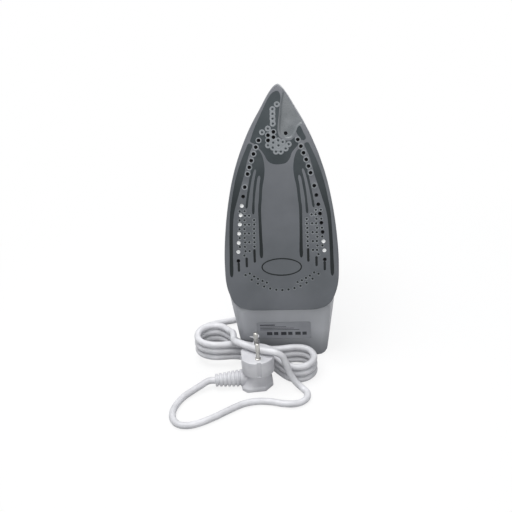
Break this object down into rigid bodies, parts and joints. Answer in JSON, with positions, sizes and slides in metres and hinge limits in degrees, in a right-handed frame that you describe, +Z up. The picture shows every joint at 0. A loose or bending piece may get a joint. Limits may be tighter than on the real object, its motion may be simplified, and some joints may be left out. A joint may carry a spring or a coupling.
{
  "type": "steam iron",
  "caption": "Steam iron standing on its heel, with a coated sole with steam holes, handle, dial, knob, buttons and water tank, and its mains lead tied in a hank with a plug.",
  "frame": {"origin": "centre of the iron's footprint box, on the surface that it stands on; the lead and plug are left out of that box", "axes": "+Z up, along the iron's length from heel to tip; +X to the right when facing the sole; the sole faces -Y and leans back 16 degrees"},
  "size_m": [0.1733, 0.3805, 0.2906],
  "materials": {
    "ceramic_coat": "smooth grey ceramic coat on aluminium, satin",
    "cast_aluminium": "as cast, dull",
    "steel": "plated steel",
    "brass": "plain brass",
    "white_plastic": "white moulded shell, satin gloss",
    "grey_plastic": "light grey moulded trim, satin",
    "soft_grip": "soft grey grip, matt",
    "smoke_plastic": "translucent smoke-blue tank, glossy",
    "insulation": "pressed mineral fibre sheet",
    "black_plastic": "black heat-proof moulding",
    "silicone": "red silicone seal",
    "silver_label": "silver-grey printed label, bare",
    "red_lens": "red pilot lens",
    "white_lead": "white flexible sheath, satin"
  },
  "bodies": {
    "iron": {"soleplate": "ceramic_coat", "heater_casting": "cast_aluminium", "heating_element": "steel", "heater_terminal_1": "brass", "heater_terminal_2": "brass", "steam_chamber_cover": "steel", "cover_screw_1": "steel", "cover_screw_2": "steel", "cover_screw_3": "steel", "cover_screw_4": "steel", "insulation_sheet": "insulation", "lower_housing": "white_plastic", "rating_plate": "silver_label", "housing_screw_1": "steel", "housing_screw_2": "steel", "rear_housing": "white_plastic", "rear_deck": "white_plastic", "water_tank": "smoke_plastic", "tank_gasket": "silicone", "front_deck": "white_plastic", "spray_nozzle": "white_plastic", "filler_door_pin": "steel", "handle_base": "white_plastic", "handle_cover": "grey_plastic", "handle_grip": "soft_grip", "drip_valve": "silicone", "spray_pump": "black_plastic", "spray_spring": "steel", "steam_burst_pump": "black_plastic", "steam_burst_spring": "steel", "thermostat": "black_plastic", "thermal_fuse": "steel", "terminal_block": "black_plastic", "mains_wire_1": "black_plastic", "mains_wire_2": "black_plastic", "mains_wire_3": "black_plastic", "cord_clamp": "black_plastic", "pilot_lens": "red_lens", "pilot_lamp": "brass", "cord_lead": "white_lead", "cord_hank": "white_lead", "cord_tail": "white_lead", "cord_tie": "white_lead", "plug_body": "white_lead", "plug_pin_1": "steel", "plug_pin_2": "steel", "plug_earth_clip_1": "steel", "plug_earth_clip_2": "steel"},
    "steam_control": {"steam_knob": "grey_plastic"},
    "drip_rod": {"valve_rod": "steel"},
    "heat_dial": {"thermostat_dial": "grey_plastic", "thermostat_spindle": "steel"},
    "spray_key": {"spray_button": "grey_plastic"},
    "burst_key": {"steam_burst_button": "grey_plastic"},
    "tank_door": {"filler_door": "grey_plastic"},
    "lead_bush": {"cord_bush": "grey_plastic"}
  },
  "joints": [
    {"name": "steam_turn", "type": "hinge", "parent": "iron", "child": "steam_control", "pos_m": [0, 0.06739, 0.16239], "axis": [0, 0.9613, -0.2756], "range_deg": [0, 120]},
    {"name": "drip_lift", "type": "slide", "parent": "iron", "child": "drip_rod", "axis": [0, 0.9613, -0.2756], "range_m": [0, 0.002]},
    {"name": "heat_turn", "type": "hinge", "parent": "iron", "child": "heat_dial", "pos_m": [0, 0.00112, 0.07529], "axis": [0, 0.9613, -0.2756], "range_deg": [0, 270]},
    {"name": "spray_press", "type": "slide", "parent": "iron", "child": "spray_key", "axis": [0, -0.9613, 0.2756], "range_m": [0, 0.0045], "stiffness_N_per_m": 600, "springref_m": -0.004, "deforming": ["spray_spring"]},
    {"name": "burst_press", "type": "slide", "parent": "iron", "child": "burst_key", "axis": [0, -0.9613, 0.2756], "range_m": [0, 0.0045], "stiffness_N_per_m": 600, "springref_m": -0.004, "deforming": ["steam_burst_spring"]},
    {"name": "door_swing", "type": "hinge", "parent": "iron", "child": "tank_door", "pos_m": [0, 0.03504, 0.18815], "axis": [-1, 0, 0], "range_deg": [0, 85]},
    {"name": "bush_twist", "type": "hinge", "parent": "iron", "child": "lead_bush", "pos_m": [0, 0.04603, 0.02912], "axis": [0, 0.9903, -0.1392], "range_deg": [-170, 170]}
  ],
  "couplings": [
    {"joint": "steam_turn", "follows": "drip_lift", "rad_per_m": 1047.1}
  ]
}
